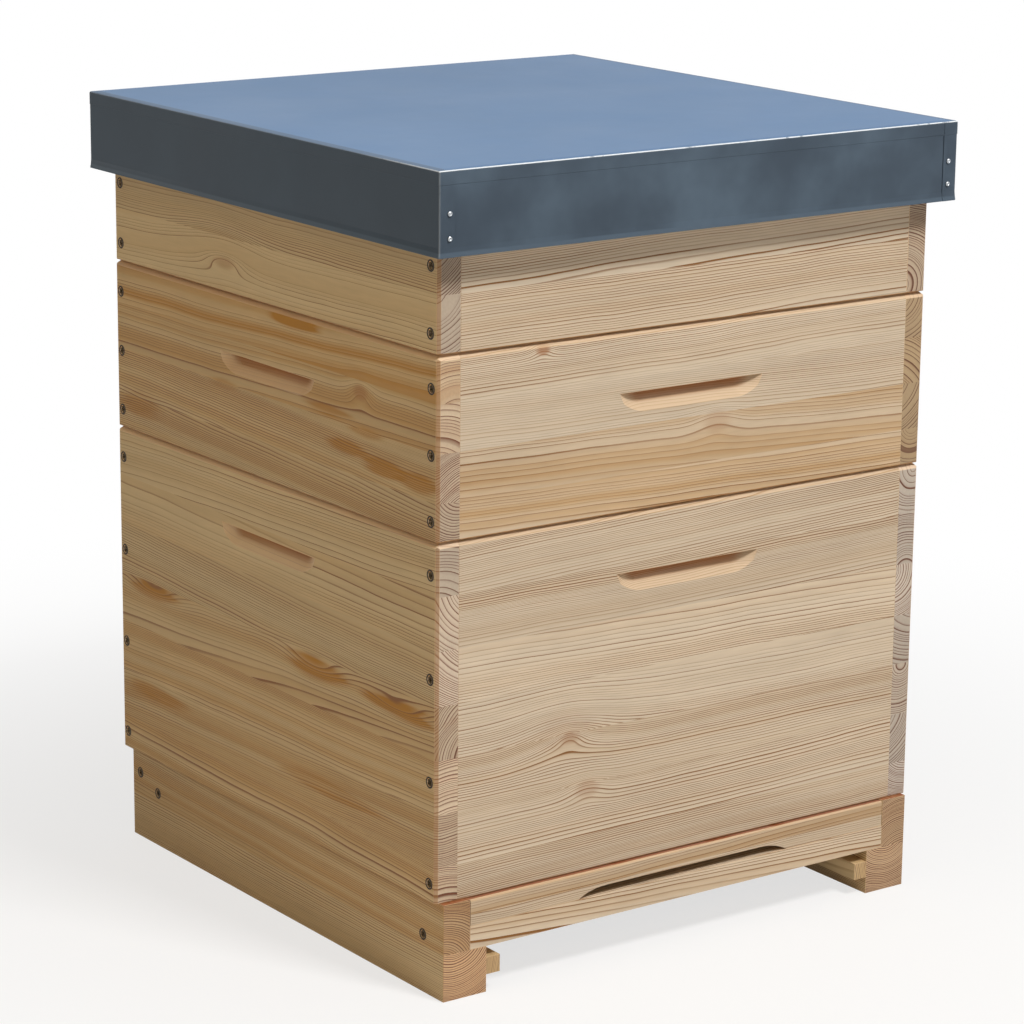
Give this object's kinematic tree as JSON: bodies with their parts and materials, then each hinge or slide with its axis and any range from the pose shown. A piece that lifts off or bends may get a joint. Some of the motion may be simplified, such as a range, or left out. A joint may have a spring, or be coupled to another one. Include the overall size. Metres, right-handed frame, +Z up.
{
  "type": "beehive",
  "caption": "Square wooden frame hive: mesh floor with entrance strip, deep brood box, half-depth super, rim, inner cover and flat sheet-metal roof, with hanging frames inside.",
  "frame": {"origin": "on the ground, in the middle of the hive's footprint", "axes": "+Z up, -Y towards the entrance front, +X to the right as seen from the front"},
  "size_m": [0.547, 0.5624, 0.703],
  "materials": {
    "pine_boards": "planed bare pine, edge-glued staves",
    "floor_pine": "planed bare pine",
    "frame_wood": "planed bare lime wood",
    "plywood": "sanded plywood",
    "roof_metal": "slate-blue coated sheet, satin",
    "screw_steel": "passivated steel",
    "mesh_steel": "galvanised wire",
    "rivet_steel": "bright rivet"
  },
  "bodies": {
    "base": {"left_rail": "floor_pine", "right_rail": "floor_pine", "front_sill": "floor_pine", "rear_floor_board": "floor_pine", "rear_bar": "floor_pine", "mesh_battens": "floor_pine", "tray_runners": "floor_pine", "floor_mesh": "mesh_steel", "base_screws": "screw_steel"},
    "entrance_strip": {"entrance_strip": "floor_pine"},
    "brood_box": {"brood_front_wall": "pine_boards", "brood_back_wall": "pine_boards", "brood_left_wall": "pine_boards", "brood_right_wall": "pine_boards", "brood_screws": "screw_steel"},
    "super_box": {"super_front_wall": "pine_boards", "super_back_wall": "pine_boards", "super_left_wall": "pine_boards", "super_right_wall": "pine_boards", "super_screws": "screw_steel"},
    "rim": {"rim_front_board": "pine_boards", "rim_back_board": "pine_boards", "rim_left_board": "pine_boards", "rim_right_board": "pine_boards", "rim_screws": "screw_steel"},
    "inner_cover": {"inner_cover_panel": "plywood", "inner_cover_cleats": "pine_boards"},
    "roof": {"roof_sheet": "roof_metal", "roof_deck": "plywood", "roof_front_board": "pine_boards", "roof_back_board": "pine_boards", "roof_left_board": "pine_boards", "roof_right_board": "pine_boards", "roof_rivets": "rivet_steel"},
    "brood_frame_01": {"brood_frame_01": "frame_wood"},
    "brood_frame_02": {"brood_frame_02": "frame_wood"},
    "brood_frame_03": {"brood_frame_03": "frame_wood"},
    "brood_frame_04": {"brood_frame_04": "frame_wood"},
    "brood_frame_05": {"brood_frame_05": "frame_wood"},
    "brood_frame_06": {"brood_frame_06": "frame_wood"},
    "brood_frame_07": {"brood_frame_07": "frame_wood"},
    "brood_frame_08": {"brood_frame_08": "frame_wood"},
    "brood_frame_09": {"brood_frame_09": "frame_wood"},
    "brood_frame_10": {"brood_frame_10": "frame_wood"},
    "brood_frame_11": {"brood_frame_11": "frame_wood"},
    "brood_frame_12": {"brood_frame_12": "frame_wood"},
    "super_frame_01": {"super_frame_01": "frame_wood"},
    "super_frame_02": {"super_frame_02": "frame_wood"},
    "super_frame_03": {"super_frame_03": "frame_wood"},
    "super_frame_04": {"super_frame_04": "frame_wood"},
    "super_frame_05": {"super_frame_05": "frame_wood"},
    "super_frame_06": {"super_frame_06": "frame_wood"},
    "super_frame_07": {"super_frame_07": "frame_wood"},
    "super_frame_08": {"super_frame_08": "frame_wood"},
    "super_frame_09": {"super_frame_09": "frame_wood"},
    "super_frame_10": {"super_frame_10": "frame_wood"},
    "super_frame_11": {"super_frame_11": "frame_wood"},
    "super_frame_12": {"super_frame_12": "frame_wood"}
  },
  "joints": [
    {"name": "entrance_strip_slide", "type": "slide", "parent": "base", "child": "entrance_strip", "axis": [0, -1, 0], "range_m": [0, 0.06]},
    {"name": "brood_box_lift", "type": "slide", "parent": "base", "child": "brood_box", "axis": [0, 0, 1], "range_m": [0, 0.15]},
    {"name": "super_lift", "type": "slide", "parent": "brood_box", "child": "super_box", "axis": [0, 0, 1], "range_m": [0, 0.42]},
    {"name": "rim_lift", "type": "slide", "parent": "super_box", "child": "rim", "axis": [0, 0, 1], "range_m": [0, 0.28]},
    {"name": "inner_cover_lift", "type": "slide", "parent": "rim", "child": "inner_cover", "axis": [0, 0, 1], "range_m": [0, 0.1]},
    {"name": "roof_lift", "type": "slide", "parent": "rim", "child": "roof", "axis": [0, 0, 1], "range_m": [0, 0.2]},
    {"name": "brood_frame_01_lift", "type": "slide", "parent": "brood_box", "child": "brood_frame_01", "axis": [0, 0, 1], "range_m": [0, 0.336]},
    {"name": "brood_frame_02_lift", "type": "slide", "parent": "brood_box", "child": "brood_frame_02", "axis": [0, 0, 1], "range_m": [0, 0.336]},
    {"name": "brood_frame_03_lift", "type": "slide", "parent": "brood_box", "child": "brood_frame_03", "axis": [0, 0, 1], "range_m": [0, 0.336]},
    {"name": "brood_frame_04_lift", "type": "slide", "parent": "brood_box", "child": "brood_frame_04", "axis": [0, 0, 1], "range_m": [0, 0.336]},
    {"name": "brood_frame_05_lift", "type": "slide", "parent": "brood_box", "child": "brood_frame_05", "axis": [0, 0, 1], "range_m": [0, 0.336]},
    {"name": "brood_frame_06_lift", "type": "slide", "parent": "brood_box", "child": "brood_frame_06", "axis": [0, 0, 1], "range_m": [0, 0.336]},
    {"name": "brood_frame_07_lift", "type": "slide", "parent": "brood_box", "child": "brood_frame_07", "axis": [0, 0, 1], "range_m": [0, 0.336]},
    {"name": "brood_frame_08_lift", "type": "slide", "parent": "brood_box", "child": "brood_frame_08", "axis": [0, 0, 1], "range_m": [0, 0.336]},
    {"name": "brood_frame_09_lift", "type": "slide", "parent": "brood_box", "child": "brood_frame_09", "axis": [0, 0, 1], "range_m": [0, 0.336]},
    {"name": "brood_frame_10_lift", "type": "slide", "parent": "brood_box", "child": "brood_frame_10", "axis": [0, 0, 1], "range_m": [0, 0.336]},
    {"name": "brood_frame_11_lift", "type": "slide", "parent": "brood_box", "child": "brood_frame_11", "axis": [0, 0, 1], "range_m": [0, 0.336]},
    {"name": "brood_frame_12_lift", "type": "slide", "parent": "brood_box", "child": "brood_frame_12", "axis": [0, 0, 1], "range_m": [0, 0.336]},
    {"name": "super_frame_01_lift", "type": "slide", "parent": "super_box", "child": "super_frame_01", "axis": [0, 0, 1], "range_m": [0, 0.168]},
    {"name": "super_frame_02_lift", "type": "slide", "parent": "super_box", "child": "super_frame_02", "axis": [0, 0, 1], "range_m": [0, 0.168]},
    {"name": "super_frame_03_lift", "type": "slide", "parent": "super_box", "child": "super_frame_03", "axis": [0, 0, 1], "range_m": [0, 0.168]},
    {"name": "super_frame_04_lift", "type": "slide", "parent": "super_box", "child": "super_frame_04", "axis": [0, 0, 1], "range_m": [0, 0.168]},
    {"name": "super_frame_05_lift", "type": "slide", "parent": "super_box", "child": "super_frame_05", "axis": [0, 0, 1], "range_m": [0, 0.168]},
    {"name": "super_frame_06_lift", "type": "slide", "parent": "super_box", "child": "super_frame_06", "axis": [0, 0, 1], "range_m": [0, 0.168]},
    {"name": "super_frame_07_lift", "type": "slide", "parent": "super_box", "child": "super_frame_07", "axis": [0, 0, 1], "range_m": [0, 0.168]},
    {"name": "super_frame_08_lift", "type": "slide", "parent": "super_box", "child": "super_frame_08", "axis": [0, 0, 1], "range_m": [0, 0.168]},
    {"name": "super_frame_09_lift", "type": "slide", "parent": "super_box", "child": "super_frame_09", "axis": [0, 0, 1], "range_m": [0, 0.168]},
    {"name": "super_frame_10_lift", "type": "slide", "parent": "super_box", "child": "super_frame_10", "axis": [0, 0, 1], "range_m": [0, 0.168]},
    {"name": "super_frame_11_lift", "type": "slide", "parent": "super_box", "child": "super_frame_11", "axis": [0, 0, 1], "range_m": [0, 0.168]},
    {"name": "super_frame_12_lift", "type": "slide", "parent": "super_box", "child": "super_frame_12", "axis": [0, 0, 1], "range_m": [0, 0.168]}
  ],
  "couplings": [
    {"joint": "brood_frame_01_lift", "follows": "super_lift", "ratio": 0.8},
    {"joint": "brood_frame_02_lift", "follows": "super_lift", "ratio": 0.8},
    {"joint": "brood_frame_03_lift", "follows": "super_lift", "ratio": 0.8},
    {"joint": "brood_frame_04_lift", "follows": "super_lift", "ratio": 0.8},
    {"joint": "brood_frame_05_lift", "follows": "super_lift", "ratio": 0.8},
    {"joint": "brood_frame_06_lift", "follows": "super_lift", "ratio": 0.8},
    {"joint": "brood_frame_07_lift", "follows": "super_lift", "ratio": 0.8},
    {"joint": "brood_frame_08_lift", "follows": "super_lift", "ratio": 0.8},
    {"joint": "brood_frame_09_lift", "follows": "super_lift", "ratio": 0.8},
    {"joint": "brood_frame_10_lift", "follows": "super_lift", "ratio": 0.8},
    {"joint": "brood_frame_11_lift", "follows": "super_lift", "ratio": 0.8},
    {"joint": "brood_frame_12_lift", "follows": "super_lift", "ratio": 0.8},
    {"joint": "super_frame_01_lift", "follows": "rim_lift", "ratio": 0.6},
    {"joint": "super_frame_02_lift", "follows": "rim_lift", "ratio": 0.6},
    {"joint": "super_frame_03_lift", "follows": "rim_lift", "ratio": 0.6},
    {"joint": "super_frame_04_lift", "follows": "rim_lift", "ratio": 0.6},
    {"joint": "super_frame_05_lift", "follows": "rim_lift", "ratio": 0.6},
    {"joint": "super_frame_06_lift", "follows": "rim_lift", "ratio": 0.6},
    {"joint": "super_frame_07_lift", "follows": "rim_lift", "ratio": 0.6},
    {"joint": "super_frame_08_lift", "follows": "rim_lift", "ratio": 0.6},
    {"joint": "super_frame_09_lift", "follows": "rim_lift", "ratio": 0.6},
    {"joint": "super_frame_10_lift", "follows": "rim_lift", "ratio": 0.6},
    {"joint": "super_frame_11_lift", "follows": "rim_lift", "ratio": 0.6},
    {"joint": "super_frame_12_lift", "follows": "rim_lift", "ratio": 0.6}
  ]
}
